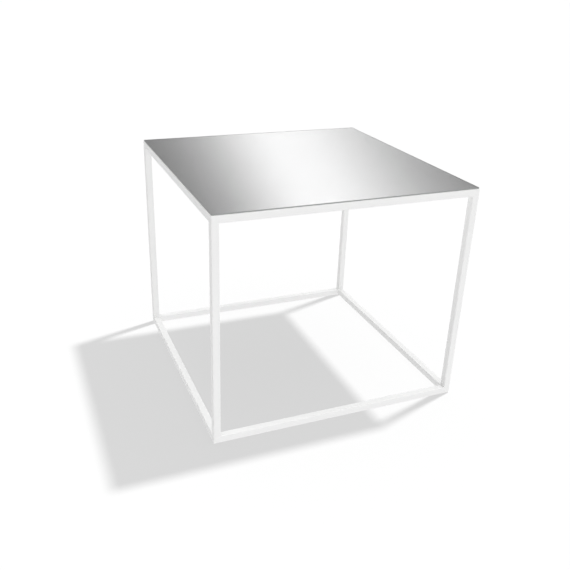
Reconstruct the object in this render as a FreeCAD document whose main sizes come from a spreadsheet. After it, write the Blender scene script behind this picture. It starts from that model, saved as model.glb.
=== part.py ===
import FreeCAD, Part
import math
import os
import Sketcher

# Cube-frame side table.  Twelve square tubes, cut with three-way mitres and
# welded at eight corners, carry a loose mirror plate.  +Z is up, -Y is the
# front, and the origin is on the floor under the middle of the table.

DIMENSIONS = {
    "width": 550.0,           # outside of the frame, both ways
    "frame_height": 475.5,    # outside of the frame, bottom rails to top rails
    "tube": 15.0,             # outside of the square tube
    "wall": 1.5,              # its wall
    "tube_corner": 2.0,       # outer corner radius of the drawn tube
    "bore_corner": 0.5,       # inner corner radius of the drawn tube
    "cut_margin": 3.0,        # how far the mitre cuts run past the tube
    "glide_height": 1.0,      # floor glide under each corner
    "glide_radius": 5.0,
    "glide_edge": 0.3,        # chamfer round the glide's foot
    "dot_height": 0.25,       # clear grip dot between rail and mirror
    "dot_radius": 4.0,
    "film_height": 0.15,      # safety film on the mirror's back
    "silver_height": 0.1,     # silvering with its backing paint
    "glass_height": 2.0,
    "glass_inset": 1.0,       # frame face to glass edge
    "glass_corner": 2.5,      # plan radius of the glass's corners
    "arris": 0.4,             # ground chamfer on the glass's edges
}

# The four sides by their turn about Z from the front, and the corner that
# each turn brings the front right leg to.
SIDES = {"front": 0, "right": 90, "back": 180, "left": 270}
CORNERS = {"front_right": 0, "back_right": 90, "back_left": 180, "front_left": 270}

X_AXIS = FreeCAD.Vector(1, 0, 0)
Y_AXIS = FreeCAD.Vector(0, 1, 0)
Z_AXIS = FreeCAD.Vector(0, 0, 1)

doc = FreeCAD.newDocument("SideTable")
subparts = []


def make_sheet():
    """Put the driving dimensions in a spreadsheet, one named cell each."""
    sheet = doc.addObject("Spreadsheet::Sheet", "Dims")
    for row, (alias, value) in enumerate(DIMENSIONS.items(), start=1):
        sheet.set(f"A{row}", alias)
        sheet.set(f"B{row}", str(value))
        sheet.setAlias(f"B{row}", alias)
    doc.recompute()


def dim(expression):
    """Prefix every dimension's name in an expression with the sheet's name."""
    words = expression.split(" ")
    return " ".join(f"Dims.{word}" if word in DIMENSIONS else word for word in words)


def start_body(label):
    body = doc.addObject("PartDesign::Body", label)
    body.Label = label
    subparts.append(body)
    return body


def start_sketch(body, name, plane):
    """Open a sketch on one of the body's own origin planes."""
    sketch = body.newObject("Sketcher::SketchObject", f"{body.Name}_{name}")
    origin_plane = next(f for f in body.Origin.OriginFeatures if f.Role == plane)
    sketch.AttachmentSupport = [(origin_plane, "")]
    sketch.MapMode = "FlatFace"
    return sketch


def bind(sketch, constraint, expression):
    """Add a dimension and tie it to an expression on the sheet."""
    index = sketch.addConstraint(constraint)
    sketch.setExpression(f"Constraints[{index}]", dim(expression))


def rounded_square(sketch, side, corner):
    """Draw a square with rounded corners, centred on the sketch's origin.

    side and corner are expressions.  The sketch starts from a rough square
    and its constraints pull it to size.
    """
    half = 10.0
    radius = 1.0
    flat = half - radius
    first = sketch.GeometryCount
    for quarter in range(4):
        turn = FreeCAD.Rotation(Z_AXIS, 90 * quarter)
        start = turn.multVec(FreeCAD.Vector(-flat, -half, 0))
        end = turn.multVec(FreeCAD.Vector(flat, -half, 0))
        centre = turn.multVec(FreeCAD.Vector(flat, -flat, 0))
        circle = Part.Circle(centre, Z_AXIS, radius)
        from_angle = math.radians(90 * quarter - 90)
        to_angle = math.radians(90 * quarter)
        sketch.addGeometry(Part.LineSegment(start, end), False)
        sketch.addGeometry(Part.ArcOfCircle(circle, from_angle, to_angle), False)
    bottom, right, top, left = (first + 2 * quarter for quarter in range(4))
    arcs = [line + 1 for line in (bottom, right, top, left)]
    loop = [first + step for step in range(8)]
    for now, after in zip(loop, loop[1:] + loop[:1]):
        sketch.addConstraint(Sketcher.Constraint("Tangent", now, 2, after, 1))
    for line in (bottom, top):
        sketch.addConstraint(Sketcher.Constraint("Horizontal", line))
    for line in (right, left):
        sketch.addConstraint(Sketcher.Constraint("Vertical", line))
    for arc in arcs[1:]:
        sketch.addConstraint(Sketcher.Constraint("Equal", arcs[0], arc))
    bind(sketch, Sketcher.Constraint("Radius", arcs[0], radius), corner)
    bind(sketch, Sketcher.Constraint("DistanceX", left, 1, right, 1, 2 * half), side)
    bind(sketch, Sketcher.Constraint("DistanceY", bottom, 1, top, 1, 2 * half), side)
    bind(sketch, Sketcher.Constraint("DistanceX", left, 1, -1, 1, half), f"( {side} ) / 2")
    bind(sketch, Sketcher.Constraint("DistanceY", bottom, 1, -1, 1, half), f"( {side} ) / 2")


def circle_on_axis(sketch, radius):
    """Draw a circle round the sketch's origin; radius is an expression."""
    rough = 5.0
    sketch.addGeometry(Part.Circle(FreeCAD.Vector(), Z_AXIS, rough), False)
    sketch.addConstraint(Sketcher.Constraint("Coincident", 0, 3, -1, 1))
    bind(sketch, Sketcher.Constraint("Radius", 0, rough), radius)


def mitre_triangle(sketch, end, length):
    """Draw the corner that a 45 degree cut takes off one end of a tube.

    end is -1 or 1.  The cut's long side passes through the tube's outer edge
    at that end, and both legs run past the tube by cut_margin.
    """
    far = 200.0 * end
    near = 170.0 * end
    low = -15.0
    high = 15.0
    tip = FreeCAD.Vector(far, low, 0)
    square_corner = FreeCAD.Vector(far, high, 0)
    inner = FreeCAD.Vector(near, high, 0)
    first = sketch.GeometryCount
    points = [tip, square_corner, inner]
    for start, stop in zip(points, points[1:] + points[:1]):
        sketch.addGeometry(Part.LineSegment(start, stop), False)
    upright, level, slope = first, first + 1, first + 2
    for now, after in ((upright, level), (level, slope), (slope, upright)):
        sketch.addConstraint(Sketcher.Constraint("Coincident", now, 2, after, 1))
    sketch.addConstraint(Sketcher.Constraint("Vertical", upright))
    sketch.addConstraint(Sketcher.Constraint("Horizontal", level))
    sketch.addConstraint(Sketcher.Constraint("Equal", upright, level))
    bind(sketch, Sketcher.Constraint("DistanceY", upright, 1, upright, 2, high - low),
         "tube + 2 * cut_margin")
    bind(sketch, Sketcher.Constraint("DistanceY", -1, 1, upright, 2, high),
         "tube / 2 + cut_margin")
    reach = f"{length} / 2 + cut_margin"
    if end > 0:
        bind(sketch, Sketcher.Constraint("DistanceX", -1, 1, upright, 1, abs(far)), reach)
    else:
        bind(sketch, Sketcher.Constraint("DistanceX", upright, 1, -1, 1, abs(far)), reach)


def pad(body, sketch, length, both_ways=False):
    feature = body.newObject("PartDesign::Pad", f"{body.Name}_pad")
    feature.Profile = sketch
    feature.setExpression("Length", dim(length))
    feature.SideType = "Symmetric" if both_ways else "One side"
    sketch.Visibility = False
    return feature


def cut_through(body, sketch, name):
    """Cut a sketch right through the body, both ways from its plane."""
    feature = body.newObject("PartDesign::Pocket", f"{body.Name}_{name}")
    feature.Profile = sketch
    feature.Type = "ThroughAll"
    feature.SideType = "Symmetric"
    sketch.Visibility = False


def chamfer_faces(body, base, heights, size):
    """Chamfer the edges of the base feature's flat faces at the given heights."""
    near = 1e-6
    doc.recompute()
    faces = []
    for number, face in enumerate(base.Shape.Faces, start=1):
        box = face.BoundBox
        if box.ZLength < near and any(abs(box.ZMin - level) < near for level in heights):
            faces.append(f"Face{number}")
    feature = body.newObject("PartDesign::Chamfer", f"{body.Name}_chamfer")
    feature.Base = (base, faces)
    feature.setExpression("Size", dim(size))


def place(body, rotation, x, y, z):
    """Turn a body and tie its position to three expressions."""
    body.Placement = FreeCAD.Placement(FreeCAD.Vector(), rotation)
    for axis, expression in (("x", x), ("y", y), ("z", z)):
        body.setExpression(f"Placement.Base.{axis}", dim(expression))


def turned(turn, right, back):
    """Turn the offset (right, back) about Z by quarter turns, as expressions."""
    signs = {0: (right, back), 90: (f"-( {back} )", right),
             180: (f"-( {right} )", f"-( {back} )"), 270: (back, f"-( {right} )")}
    return signs[turn]


def mitred_tube(label, length):
    """Make a tube along X, mitred both ways at both ends.

    Its longest edge, on the outside of the frame, is at -Y and -Z.
    """
    body = start_body(label)
    profile = start_sketch(body, "profile", "YZ_Plane")
    rounded_square(profile, "tube", "tube_corner")
    rounded_square(profile, "tube - 2 * wall", "bore_corner")
    pad(body, profile, length, both_ways=True)
    for name, plane in (("side_mitres", "XZ_Plane"), ("plan_mitres", "XY_Plane")):
        ends = start_sketch(body, f"{name}_ends", plane)
        for end in (-1, 1):
            mitre_triangle(ends, end, length)
        cut_through(body, ends, name)
    return body


def make_frame():
    """Eight rails and four legs that meet on 45 degree planes at the corners."""
    centre_line = "( width - tube ) / 2"
    outer_edge_down = FreeCAD.Rotation()
    outer_edge_up = FreeCAD.Rotation(X_AXIS, -90)
    rail_levels = (
        ("bottom_rail", outer_edge_down, "glide_height + tube / 2"),
        ("top_rail", outer_edge_up, "glide_height + frame_height - tube / 2"),
    )
    for kind, upright, level in rail_levels:
        for side, turn in SIDES.items():
            rail = mitred_tube(f"{kind}_{side}", "width")
            x, y = turned(turn, "0", f"-( {centre_line} )")
            place(rail, FreeCAD.Rotation(Z_AXIS, turn) * upright, x, y, level)
    standing = FreeCAD.Rotation(Y_AXIS, -90)
    for corner, turn in CORNERS.items():
        leg = mitred_tube(f"leg_{corner}", "frame_height")
        x, y = turned(turn, centre_line, f"-( {centre_line} )")
        place(leg, FreeCAD.Rotation(Z_AXIS, turn) * standing, x, y,
              "glide_height + frame_height / 2")


def make_glides():
    """A thin floor glide under each corner of the bottom frame."""
    centre_line = "( width - tube ) / 2"
    for corner, turn in CORNERS.items():
        body = start_body(f"floor_glide_{corner}")
        outline = start_sketch(body, "outline", "XY_Plane")
        circle_on_axis(outline, "glide_radius")
        disc = pad(body, outline, "glide_height")
        chamfer_faces(body, disc, [0.0], "glide_edge")
        x, y = turned(turn, centre_line, f"-( {centre_line} )")
        place(body, FreeCAD.Rotation(), x, y, "0")


def make_grip_dots():
    """Clear dots on the top frame, one on each corner and one mid-rail."""
    centre_line = "( width - tube ) / 2"
    spots = {corner: turned(turn, centre_line, f"-( {centre_line} )")
             for corner, turn in CORNERS.items()}
    for side, turn in SIDES.items():
        spots[side] = turned(turn, "0", f"-( {centre_line} )")
    for spot, (x, y) in spots.items():
        body = start_body(f"grip_dot_{spot}")
        outline = start_sketch(body, "outline", "XY_Plane")
        circle_on_axis(outline, "dot_radius")
        pad(body, outline, "dot_height")
        place(body, FreeCAD.Rotation(), x, y, "glide_height + frame_height")


def make_mirror():
    """The loose mirror plate: film, silvering and glass, from the rails up."""
    under_film = "glide_height + frame_height + dot_height"
    layers = (
        ("mirror_backing_film", "film_height", under_film),
        ("mirror_silvering", "silver_height", f"{under_film} + film_height"),
    )
    for label, thickness, level in layers:
        body = start_body(label)
        outline = start_sketch(body, "outline", "XY_Plane")
        rounded_square(outline, "width - 2 * glass_inset - 2 * arris", "glass_corner - arris")
        pad(body, outline, thickness)
        place(body, FreeCAD.Rotation(), "0", "0", level)
    glass = start_body("mirror_glass")
    outline = start_sketch(glass, "outline", "XY_Plane")
    rounded_square(outline, "width - 2 * glass_inset", "glass_corner")
    plate = pad(glass, outline, "glass_height")
    chamfer_faces(glass, plate, [0.0, DIMENSIONS["glass_height"]], "arris")
    place(glass, FreeCAD.Rotation(), "0", "0", f"{under_film} + film_height + silver_height")


def check_document():
    """Stop if anything failed to compute or a sub-part isn't one sound solid."""
    for item in doc.Objects:
        if "Invalid" in item.State or "Error" in item.State:
            raise RuntimeError(f"{item.Label} did not compute: {item.State}")
    for body in subparts:
        shape = body.Shape
        if shape.isNull() or not shape.isValid() or len(shape.Solids) != 1:
            raise RuntimeError(f"{body.Label} is not one valid solid")


def export():
    os.makedirs("parts", exist_ok=True)
    for body in subparts:
        body.Shape.exportStep(f"parts/{body.Label}.step")
        print(f"{body.Label:28s} {body.Shape.Volume:12.2f} mm3")


make_sheet()
make_frame()
make_glides()
make_grip_dots()
make_mirror()
doc.recompute()
check_document()
export()
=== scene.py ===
"""A white cube-frame side table with a loose mirror top, in a plain pale studio.

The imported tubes, glides, dots and film keep their shapes and get their finishes here.  The glass
and its silvering are remade with separate polished and ground faces, and the inside corners of
the frame get their weld fillets.
"""
from math import cos, pi, radians, sin

import bmesh
import bpy
from mathutils import Matrix, Vector


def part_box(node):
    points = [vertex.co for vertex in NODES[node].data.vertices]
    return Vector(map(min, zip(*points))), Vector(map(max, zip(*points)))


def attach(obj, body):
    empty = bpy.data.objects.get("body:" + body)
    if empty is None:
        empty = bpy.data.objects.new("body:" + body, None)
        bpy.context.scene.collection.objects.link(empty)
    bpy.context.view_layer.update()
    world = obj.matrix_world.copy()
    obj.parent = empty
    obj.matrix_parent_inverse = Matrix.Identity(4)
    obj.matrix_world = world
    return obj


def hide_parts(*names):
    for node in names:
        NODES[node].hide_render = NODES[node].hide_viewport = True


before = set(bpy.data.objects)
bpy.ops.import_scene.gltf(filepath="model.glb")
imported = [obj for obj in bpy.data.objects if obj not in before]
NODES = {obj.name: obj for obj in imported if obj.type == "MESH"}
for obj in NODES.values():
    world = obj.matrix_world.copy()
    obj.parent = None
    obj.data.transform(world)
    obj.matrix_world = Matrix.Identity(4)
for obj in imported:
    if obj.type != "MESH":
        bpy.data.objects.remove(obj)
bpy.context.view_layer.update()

MM = 0.001

TUBES = [name for name in NODES if name.startswith(("bottom_rail", "top_rail", "leg_"))]
GLIDES = [name for name in NODES if name.startswith("floor_glide")]
DOTS = [name for name in NODES if name.startswith("grip_dot")]


# ---- material helpers -------------------------------------------------------------------

class Shader:
    """A material with one Principled BSDF and short calls for the nodes that feed it."""

    def __init__(self, name, **inputs):
        self.material = bpy.data.materials.new(name)
        self.material.use_nodes = True
        self.tree = self.material.node_tree
        self.bsdf = self.tree.nodes["Principled BSDF"]
        for socket, value in inputs.items():
            self.bsdf.inputs[socket.replace("_", " ")].default_value = value
        self.place = self.node("ShaderNodeTexCoord").outputs["Object"]

    def node(self, kind, **settings):
        made = self.tree.nodes.new(kind)
        for setting, value in settings.items():
            setattr(made, setting, value)
        return made

    def wire(self, output, socket):
        self.tree.links.new(output, socket)

    def noise(self, size, detail=2.0, roughness=0.5, stretch=(1, 1, 1)):
        """Noise whose lumps are about `size` metres across."""
        mapping = self.node("ShaderNodeMapping")
        mapping.inputs["Scale"].default_value = [s / size for s in stretch]
        noise = self.node("ShaderNodeTexNoise")
        noise.inputs["Scale"].default_value = 1.0
        noise.inputs["Detail"].default_value = detail
        noise.inputs["Roughness"].default_value = roughness
        self.wire(self.place, mapping.inputs["Vector"])
        self.wire(mapping.outputs["Vector"], noise.inputs["Vector"])
        return noise.outputs["Fac"]

    def spread(self, value, low, high, start=0.3, end=0.7):
        """Maps start..end of a 0..1 value onto low..high."""
        ranged = self.node("ShaderNodeMapRange")
        self.wire(value, ranged.inputs["Value"])
        for socket, number in zip(("From Min", "From Max", "To Min", "To Max"), (start, end, low, high)):
            ranged.inputs[socket].default_value = number
        return ranged.outputs["Result"]

    def shades(self, value, dark, light, start=0.3, end=0.7):
        """A colour between dark and light, by a 0..1 value."""
        ramp = self.node("ShaderNodeValToRGB")
        ramp.color_ramp.elements[0].position = start
        ramp.color_ramp.elements[0].color = (*dark, 1)
        ramp.color_ramp.elements[1].position = end
        ramp.color_ramp.elements[1].color = (*light, 1)
        self.wire(value, ramp.inputs["Fac"])
        return ramp.outputs["Color"]

    def bumps(self, *layers):
        """Stacks (height output, depth in metres) layers into the shader's normal."""
        below = None
        for height, depth in layers:
            bump = self.node("ShaderNodeBump")
            bump.inputs["Strength"].default_value = 1.0
            bump.inputs["Distance"].default_value = depth
            self.wire(height, bump.inputs["Height"])
            if below is not None:
                self.wire(below, bump.inputs["Normal"])
            below = bump.outputs["Normal"]
        self.wire(below, self.bsdf.inputs["Normal"])


def finish_node(name, shader):
    """Gives a CAD node one material in place of its own."""
    slots = NODES[name].material_slots
    for entry in slots:
        entry.material = shader.material
    if not slots:
        NODES[name].data.materials.append(shader.material)


# ---- finishes ---------------------------------------------------------------------------

def powder_coat():
    """White satin powder coat: a fine orange peel over the slight draw lines of the tube."""
    shader = Shader("powder_coat_white", Specular_IOR_Level=0.35)
    tone = shader.noise(60 * MM, detail=3)
    shader.wire(shader.shades(tone, (0.892, 0.892, 0.889), (0.908, 0.908, 0.905)),
                shader.bsdf.inputs["Base Color"])
    shader.wire(shader.spread(shader.noise(9 * MM, detail=4), 0.40, 0.52),
                shader.bsdf.inputs["Roughness"])
    peel = shader.noise(1.6 * MM, detail=1.5)
    waves = shader.noise(14 * MM, detail=1)
    shader.bumps((waves, 0.03 * MM), (peel, 0.012 * MM))
    return shader


def silver():
    shader = Shader("mirror_silver", Metallic=1.0)
    shader.wire(shader.shades(shader.noise(120 * MM), (0.94, 0.935, 0.94), (0.955, 0.95, 0.955)),
                shader.bsdf.inputs["Base Color"])
    shader.wire(shader.spread(shader.noise(70 * MM), 0.01, 0.03), shader.bsdf.inputs["Roughness"])
    return shader


def float_glass():
    shader = Shader("mirror_float_glass", Transmission_Weight=1.0, IOR=1.52)
    shader.bsdf.inputs["Base Color"].default_value = (0.997, 1.0, 0.999, 1)
    shader.wire(shader.spread(shader.noise(50 * MM, detail=4), 0.0, 0.015),
                shader.bsdf.inputs["Roughness"])
    return shader


def ground_edge():
    """The glass's ground rim: a fine matt grey with the wheel's marks running round it."""
    shader = Shader("mirror_ground_edge", IOR=1.52)
    marks = shader.noise(0.5 * MM, detail=3, stretch=(0.15, 0.15, 2))
    shader.wire(shader.shades(marks, (0.24, 0.255, 0.25), (0.34, 0.355, 0.35)),
                shader.bsdf.inputs["Base Color"])
    shader.wire(shader.spread(shader.noise(4 * MM, detail=3), 0.38, 0.55),
                shader.bsdf.inputs["Roughness"])
    shader.bumps((marks, 0.01 * MM))
    return shader


def backing_film():
    shader = Shader("mirror_backing_film", Roughness=0.6)
    shader.wire(shader.shades(shader.noise(8 * MM), (0.86, 0.86, 0.855), (0.90, 0.90, 0.895)),
                shader.bsdf.inputs["Base Color"])
    shader.bumps((shader.noise(0.9 * MM), 0.02 * MM))
    return shader


def clear_rubber():
    shader = Shader("grip_dot_rubber", Roughness=0.3)
    shader.wire(shader.shades(shader.noise(2 * MM), (0.70, 0.70, 0.69), (0.78, 0.78, 0.77)),
                shader.bsdf.inputs["Base Color"])
    shader.bumps((shader.noise(0.5 * MM), 0.01 * MM))
    return shader


def glide_plastic():
    shader = Shader("floor_glide_plastic", Roughness=0.5)
    shader.wire(shader.shades(shader.noise(3 * MM), (0.80, 0.80, 0.79), (0.86, 0.86, 0.85)),
                shader.bsdf.inputs["Base Color"])
    shader.bumps((shader.noise(0.4 * MM), 0.01 * MM))
    return shader


# ---- studio -----------------------------------------------------------------------------

CAMERA_AT = Vector((-0.5906, -1.3501, 0.8748))
CAMERA_AIM = Vector((-0.0376, -0.0465, 0.2118))
CAMERA_ROLL = radians(2.03)          # its right side is tipped up
CAMERA_LENS = 44.07                  # mm
CAMERA_SENSOR = 36.0                 # mm, the width of the square frame
CAMERA_NEAR = 0.05
CAMERA_FAR = 500.0


def make_camera():
    data = bpy.data.cameras.new("camera")
    data.sensor_width = CAMERA_SENSOR
    data.lens = CAMERA_LENS
    data.clip_start = CAMERA_NEAR
    data.clip_end = CAMERA_FAR
    camera = bpy.data.objects.new("camera", data)
    bpy.context.scene.collection.objects.link(camera)
    look = (CAMERA_AIM - CAMERA_AT).to_track_quat("-Z", "Y")
    level = Matrix.Translation(CAMERA_AT) @ look.to_matrix().to_4x4()
    camera.matrix_world = level @ Matrix.Rotation(CAMERA_ROLL, 4, "Z")
    bpy.context.scene.camera = camera


FLOOR_RADIUS = 60.0
FLOOR_SEGMENTS = 96
FLOOR_ALBEDO = 0.10
FLOOR_GLOW = 0.577


def make_floor():
    """A seamless white floor, lit from below like a sheet of opal acrylic.

    Only the camera sees the shadows on it.  Every other ray finds it evenly white, so that the
    table's own shadow doesn't grey its coat.
    """
    mesh = bpy.data.meshes.new("studio_floor")
    disc = bmesh.new()
    bmesh.ops.create_circle(disc, cap_ends=True, segments=FLOOR_SEGMENTS, radius=FLOOR_RADIUS)
    disc.to_mesh(mesh)
    disc.free()
    floor = bpy.data.objects.new("studio_floor", mesh)
    bpy.context.scene.collection.objects.link(floor)
    shader = Shader("studio_floor", Roughness=0.9, Specular_IOR_Level=0.0)
    shader.bsdf.inputs["Base Color"].default_value = (FLOOR_ALBEDO,) * 3 + (1,)
    shader.bsdf.inputs["Emission Color"].default_value = (1, 1, 1, 1)
    shader.bsdf.inputs["Emission Strength"].default_value = FLOOR_GLOW
    even = shader.node("ShaderNodeEmission")
    mix = shader.node("ShaderNodeMixShader")
    seen = shader.node("ShaderNodeLightPath").outputs["Is Camera Ray"]
    shader.wire(seen, mix.inputs["Fac"])
    shader.wire(even.outputs["Emission"], mix.inputs[1])
    shader.wire(shader.bsdf.outputs["BSDF"], mix.inputs[2])
    shader.wire(mix.outputs["Shader"], shader.tree.nodes["Material Output"].inputs["Surface"])
    mesh.materials.append(shader.material)
    return floor


KEY_TOWARD = Vector((0.44, 0.14, 1.0))   # from the table to the key light
KEY_STRENGTH = 10.8
KEY_ANGLE = radians(3.5)                 # its width, which softens the shadow's edges


def collection(name, members):
    made = bpy.data.collections.new(name)
    for member in members:
        made.objects.link(member)
    return made


def make_key_light(takers, blockers):
    """A key light that only the takers get, so that the coat keeps the room's even light.

    What isn't a blocker throws no shadow.
    """
    data = bpy.data.lights.new("key_light", "SUN")
    data.energy = KEY_STRENGTH
    data.angle = KEY_ANGLE
    light = bpy.data.objects.new("key_light", data)
    light.rotation_mode = "QUATERNION"
    light.rotation_quaternion = KEY_TOWARD.to_track_quat("Z", "Y")
    bpy.context.scene.collection.objects.link(light)
    linking = light.light_linking
    linking.receiver_collection = collection("lit_by_key", takers)
    linking.blocker_collection = collection("blocks_key", blockers)


# What the mirror sees.  Heights are the z of a direction: 0 is the horizon, 1 is overhead.
STRIP_EVERY = radians(90)           # the same tall light stands on all four sides
STRIP_BEARING = radians(14.7)       # from +Y towards +X, where one strip's middle meets the horizon
STRIP_LEAN = radians(29.4)          # how far the strip's top leans to the right
STRIP_PEAK = 1.27                   # brightness in its middle, at the horizon
STRIP_FADE = 0.56                   # how fast it dims upwards
STRIP_LEFT = radians(5.8)           # half widths at half brightness
STRIP_RIGHT = radians(8.1)
STRIP_FALL = 2.2                    # how steeply it dims sideways
FLAG_LEVEL = 0.112                  # the dark flags on both sides of each strip
WALL_LIFT = 0.64                    # how much brighter the walls, ceiling and horizon round them are
FLAG_SIDE = (radians(15), radians(28))   # a flag eases into the wall between these angles aside,
FLAG_TOP = (0.36, 0.62)                  # into the ceiling between these heights
FLAG_FOOT = (0.18, 0.05)                 # and into the horizon between these

# What the coat and the floor see.
ROOM_LEVEL = 0.895
ROOM_SLOPE = 0.32                   # brighter upwards
ROOM_CEILING = 0.72                 # and much brighter overhead,
ROOM_CEILING_EDGE = (0.55, 0.95)    # easing in between these heights
ROOM_RIGHT = -0.56                  # darker on the right
ROOM_LEFT = -1.33                   # and darker still on the left


def make_room():
    """Soft walls for matt surfaces, tall strip lights for the mirror, and plain white behind."""
    world = bpy.data.worlds.new("studio")
    bpy.context.scene.world = world
    world.use_nodes = True
    tree = world.node_tree
    tree.nodes.clear()

    def node(kind, **settings):
        made = tree.nodes.new(kind)
        for setting, value in settings.items():
            setattr(made, setting, value)
        return made

    def math(operation, *values):
        made = node("ShaderNodeMath", operation=operation)
        for socket, value in zip(made.inputs, values):
            if isinstance(value, (int, float)):
                socket.default_value = value
            else:
                tree.links.new(value, socket)
        return made.outputs[0]

    def ease(value, span, height):
        """Goes smoothly from 0 to height while the value crosses the span."""
        made = node("ShaderNodeMapRange", interpolation_type="SMOOTHSTEP")
        tree.links.new(value, made.inputs["Value"])
        for socket, number in zip(("From Min", "From Max", "To Min", "To Max"), (*span, 0.0, height)):
            made.inputs[socket].default_value = number
        return made.outputs["Result"]

    toward = node("ShaderNodeTexCoord").outputs["Generated"]
    axes = node("ShaderNodeSeparateXYZ")
    tree.links.new(toward, axes.inputs[0])
    x, y, z = axes.outputs

    bearing = math("SUBTRACT", math("ARCTAN2", x, y), STRIP_BEARING)
    around = math("WRAP", bearing, STRIP_EVERY / 2, -STRIP_EVERY / 2)
    level = math("SQRT", math("SUBTRACT", 1.0, math("MULTIPLY", z, z)))
    sideways = math("MULTIPLY", math("MULTIPLY", level, math("SINE", around)), cos(STRIP_LEAN))
    aside = math("ARCSINE", math("SUBTRACT", sideways, math("MULTIPLY", z, sin(STRIP_LEAN))))
    is_right = math("GREATER_THAN", aside, 0.0)
    width = math("ADD", STRIP_LEFT, math("MULTIPLY", is_right, STRIP_RIGHT - STRIP_LEFT))
    fall = math("POWER", math("DIVIDE", math("ABSOLUTE", aside), width), STRIP_FALL)
    peak = math("SUBTRACT", STRIP_PEAK, math("MULTIPLY", z, STRIP_FADE))
    strip = math("DIVIDE", peak, math("ADD", fall, 1.0))
    walls = ease(math("ABSOLUTE", aside), FLAG_SIDE, WALL_LIFT)
    ceiling = ease(z, FLAG_TOP, WALL_LIFT)
    horizon = ease(z, FLAG_FOOT, WALL_LIFT)
    pale = math("MAXIMUM", walls, math("MAXIMUM", ceiling, horizon))
    seen_in_mirror = math("MAXIMUM", strip, math("ADD", pale, FLAG_LEVEL))

    soft = math("ADD", math("MULTIPLY", z, ROOM_SLOPE), ROOM_LEVEL)
    soft = math("ADD", soft, ease(z, ROOM_CEILING_EDGE, ROOM_CEILING))
    for side, dip in ((math("MINIMUM", x, 0.0), ROOM_LEFT), (math("MAXIMUM", x, 0.0), ROOM_RIGHT)):
        soft = math("ADD", soft, math("MULTIPLY", math("MULTIPLY", side, side), dip))
    soft = math("MAXIMUM", soft, 0.0)

    path = node("ShaderNodeLightPath")
    is_diffuse = path.outputs["Is Diffuse Ray"]
    is_camera = path.outputs["Is Camera Ray"]
    strength = math("ADD", math("MULTIPLY", is_diffuse, soft),
                    math("MULTIPLY", math("SUBTRACT", 1.0, is_diffuse), seen_in_mirror))
    strength = math("MAXIMUM", strength, is_camera)     # the camera sees at least white
    background = node("ShaderNodeBackground")
    background.inputs["Color"].default_value = (1, 1, 1, 1)
    tree.links.new(strength, background.inputs["Strength"])
    out = node("ShaderNodeOutputWorld")
    tree.links.new(background.outputs["Background"], out.inputs["Surface"])


# ---- the mirror -------------------------------------------------------------------------

AIR_GAP = 0.03 * MM      # keeps the silver's face off the glass's, so that each ray meets both
GLASS_CORNER = 2.5 * MM
ARRIS = 0.4 * MM


def outline(low, high, corner, segments=8):
    """The points of a rectangle with round corners, in plan, anticlockwise."""
    points = []
    for quarter, (x, y) in enumerate(((high.x, high.y), (low.x, high.y), (low.x, low.y), (high.x, low.y))):
        centre = Vector((x - corner if x > 0 else x + corner, y - corner if y > 0 else y + corner))
        for step in range(segments + 1):
            angle = (quarter + step / segments) * pi / 2
            points.append(centre + corner * Vector((cos(angle), sin(angle))))
    return points


def plate(name, low, high, corner, arris=0.0):
    """A flat plate with round corners; its faces are material 0 and its rim is material 1."""
    levels = [(low.z, 0.0), (high.z, 0.0)]
    if arris:
        levels = [(low.z, arris), (low.z + arris, 0.0), (high.z - arris, 0.0), (high.z, arris)]
    solid = bmesh.new()
    rings = []
    for z, inset in levels:
        margin = Vector((inset, inset, 0))
        ring = outline(low + margin, high - margin, corner - inset)
        rings.append([solid.verts.new((point.x, point.y, z)) for point in ring])
    solid.faces.new(reversed(rings[0]))
    solid.faces.new(rings[-1])
    for below, above in zip(rings, rings[1:]):
        for i in range(len(below)):
            j = (i + 1) % len(below)
            rim = solid.faces.new((below[i], below[j], above[j], above[i]))
            rim.material_index = 1
    mesh = bpy.data.meshes.new(name)
    solid.to_mesh(mesh)
    solid.free()
    piece = bpy.data.objects.new(name, mesh)
    bpy.context.scene.collection.objects.link(piece)
    return piece


def make_mirror():
    """The loose plate's glass, silver and film; returns all three."""
    low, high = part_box("mirror_glass")
    glass = plate("glass_plate", low, high, GLASS_CORNER, ARRIS)
    glass.data.materials.append(float_glass().material)
    glass.data.materials.append(ground_edge().material)
    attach(glass, "mirror_top")
    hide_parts("mirror_glass")

    low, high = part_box("mirror_silvering")
    metal = silver().material
    layer = plate("silver_layer", low, high - Vector((0, 0, AIR_GAP)), GLASS_CORNER - ARRIS)
    layer.data.materials.append(metal)
    layer.data.materials.append(metal)
    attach(layer, "mirror_top")
    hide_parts("mirror_silvering")
    finish_node("mirror_backing_film", backing_film())
    return [glass, layer, NODES["mirror_backing_film"]]


# ---- the welds --------------------------------------------------------------------------

WELD_LEG = 1.7 * MM          # how far a fillet reaches up each tube
WELD_BURIED = 0.5 * MM       # how deep it goes into them
WELD_RIPPLE = 0.07           # part of the leg
WELD_PITCH = 1.3 * MM        # from one ripple to the next
WELD_START = 0.9 * MM        # from the tube's outer face
WELD_TAPER = 0.15            # part of its leg that a fillet starts with
WELD_NODE = 1.6 * MM         # radius of the blob where three fillets meet
WELD_GRAIN = 0.2 * MM        # mesh size after the fillets are merged
WELD_EASE = 12               # rounds of smoothing after that


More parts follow.
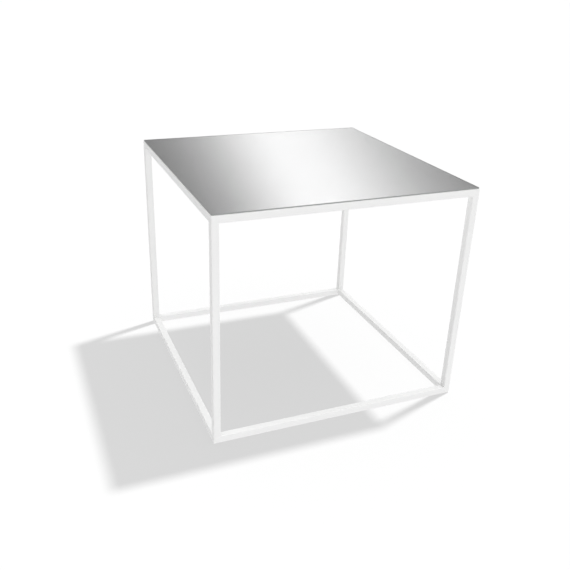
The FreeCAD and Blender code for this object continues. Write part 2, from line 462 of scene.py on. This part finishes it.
def weld_bead(solid, place, length, arc_segments=6, steps=36):
    """A concave fillet along one inside edge; place(a, b, s) puts a point beside that edge."""
    rings = []
    for step in range(steps + 1):
        along = WELD_START + (length - WELD_START) * step / steps
        near_start = min(1.0, (along - WELD_START) / WELD_LEG)
        taper = WELD_TAPER + (1 - WELD_TAPER) * sin(near_start * pi / 2)
        leg = WELD_LEG * taper * (1 + WELD_RIPPLE * cos(2 * pi * along / WELD_PITCH))
        section = [(-WELD_BURIED, -WELD_BURIED), (-WELD_BURIED, leg)]
        for i in range(arc_segments + 1):
            angle = (pi / 2) * i / arc_segments
            section.append((leg * (1 - cos(angle)), leg * (1 - sin(angle))))
        section.append((leg, -WELD_BURIED))
        rings.append([solid.verts.new(place(a, b, along)) for a, b in section])
    count = len(rings[0])
    for before, after in zip(rings, rings[1:]):
        for i in range(count):
            j = (i + 1) % count
            solid.faces.new((before[i], before[j], after[j], after[i]))
    solid.faces.new(rings[0])
    solid.faces.new(reversed(rings[-1]))


def make_weld(name, corner, inward, tube, coat):
    """The three inside fillets of one frame corner, merged into one skin."""
    solid = bmesh.new()
    for run in range(3):
        across, up = (run + 1) % 3, (run + 2) % 3

        def place(a, b, along):
            point = Vector()
            point[run], point[across], point[up] = along, tube + a, tube + b
            return corner + point * inward

        weld_bead(solid, place, tube + WELD_BURIED)
    middle = corner + Vector((1, 1, 1)) * inward * tube
    blob = Matrix.Translation(middle)
    bmesh.ops.create_uvsphere(solid, u_segments=24, v_segments=16, radius=WELD_NODE, matrix=blob)
    bmesh.ops.recalc_face_normals(solid, faces=solid.faces)
    mesh = bpy.data.meshes.new(name)
    solid.to_mesh(mesh)
    solid.free()
    piece = bpy.data.objects.new(name, mesh)
    bpy.context.scene.collection.objects.link(piece)
    piece.data.materials.append(coat)
    merge = piece.modifiers.new("merge", "REMESH")
    merge.mode = "VOXEL"
    merge.voxel_size = WELD_GRAIN
    merge.use_smooth_shade = True
    ease = piece.modifiers.new("ease", "SMOOTH")
    ease.iterations = WELD_EASE
    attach(piece, "frame")


def make_welds(coat):
    """One weld at each of the frame's eight corners; x, y and z point from it into the frame."""
    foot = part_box("bottom_rail_front")[0].z     # the legs' mitred tips end just short of these heights
    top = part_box("top_rail_front")[1].z
    for side, x in (("left", 1), ("right", -1)):
        for end, y in (("front", 1), ("back", -1)):
            low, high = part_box(f"leg_{end}_{side}")
            for level, z, height in (("bottom", 1, foot), ("top", -1, top)):
                corner = Vector((low.x if x > 0 else high.x, low.y if y > 0 else high.y, height))
                make_weld(f"weld_{level}_{end}_{side}", corner, Vector((x, y, z)), high.x - low.x, coat)


# ---- the table --------------------------------------------------------------------------

def finish_table():
    """Finishes every piece of the table; returns those that throw a shadow."""
    coat, glide, dot = powder_coat(), glide_plastic(), clear_rubber()
    for name in TUBES:
        finish_node(name, coat)
    for name in GLIDES:
        finish_node(name, glide)
    for name in DOTS:
        finish_node(name, dot)
    make_welds(coat.material)
    return make_mirror() + [NODES[name] for name in TUBES if not name.startswith("bottom_rail")]


floor = make_floor()
shadow_casters = finish_table()
make_key_light([floor], shadow_casters)
make_room()
make_camera()
bpy.context.scene.view_settings.view_transform = "Standard"
